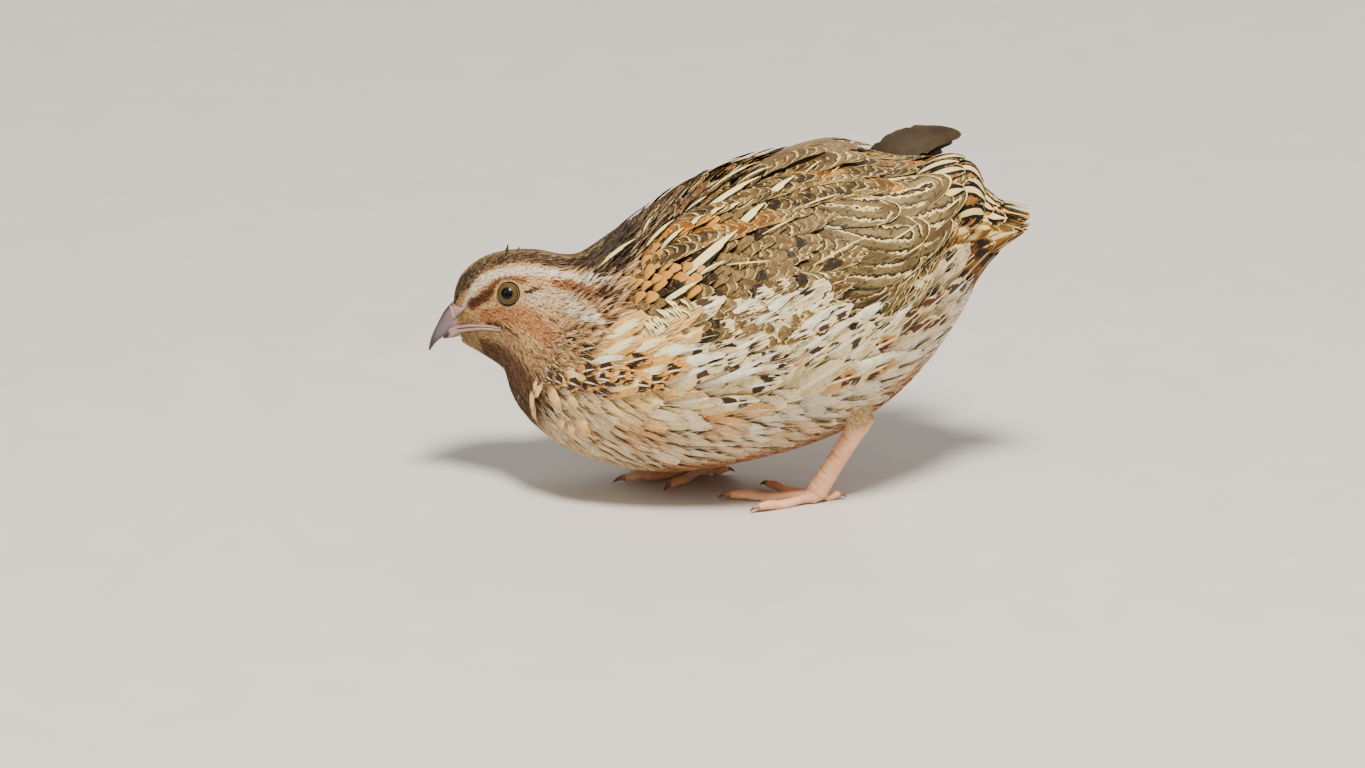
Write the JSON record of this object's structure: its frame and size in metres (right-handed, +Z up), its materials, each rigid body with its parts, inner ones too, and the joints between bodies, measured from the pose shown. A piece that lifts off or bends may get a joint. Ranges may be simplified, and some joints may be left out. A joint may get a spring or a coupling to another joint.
{
  "type": "coturnix quail model",
  "caption": "Still, life-size coturnix quail in a low walking crouch, with folded wings, short tail and both feet flat on the floor.",
  "frame": {"origin": "on the floor, under the middle of the whole bird's box", "axes": "+X from the bill to the tail, -Y on the bird's left side, +Z up"},
  "size_m": [0.158, 0.0768, 0.092],
  "materials": {
    "crown_feather": "soft feathers, dark brown with buff edges",
    "neck_feather": "soft feathers, buff and rufous with dark flecks",
    "body_feather": "soft feathers, buff with cream streaks and dark spots",
    "wing_feather": "smooth flight feathers, grey-brown with cream edges",
    "tail_feather": "smooth tail feathers, dark brown with buff bars",
    "horn": "smooth grey horn",
    "leg_skin": "scaly pinkish skin",
    "eye": "wet and clear"
  },
  "bodies": {
    "root": {"head": "crown_feather", "upper_bill": "horn", "lower_bill": "horn", "left_eye": "eye", "right_eye": "eye", "neck": "neck_feather", "torso": "body_feather", "tail": "tail_feather", "left_wing": "wing_feather", "right_wing": "wing_feather", "left_thigh": "body_feather", "right_thigh": "body_feather", "left_tarsus": "leg_skin", "right_tarsus": "leg_skin", "left_foot": "leg_skin", "right_foot": "leg_skin"}
  },
  "joints": []
}
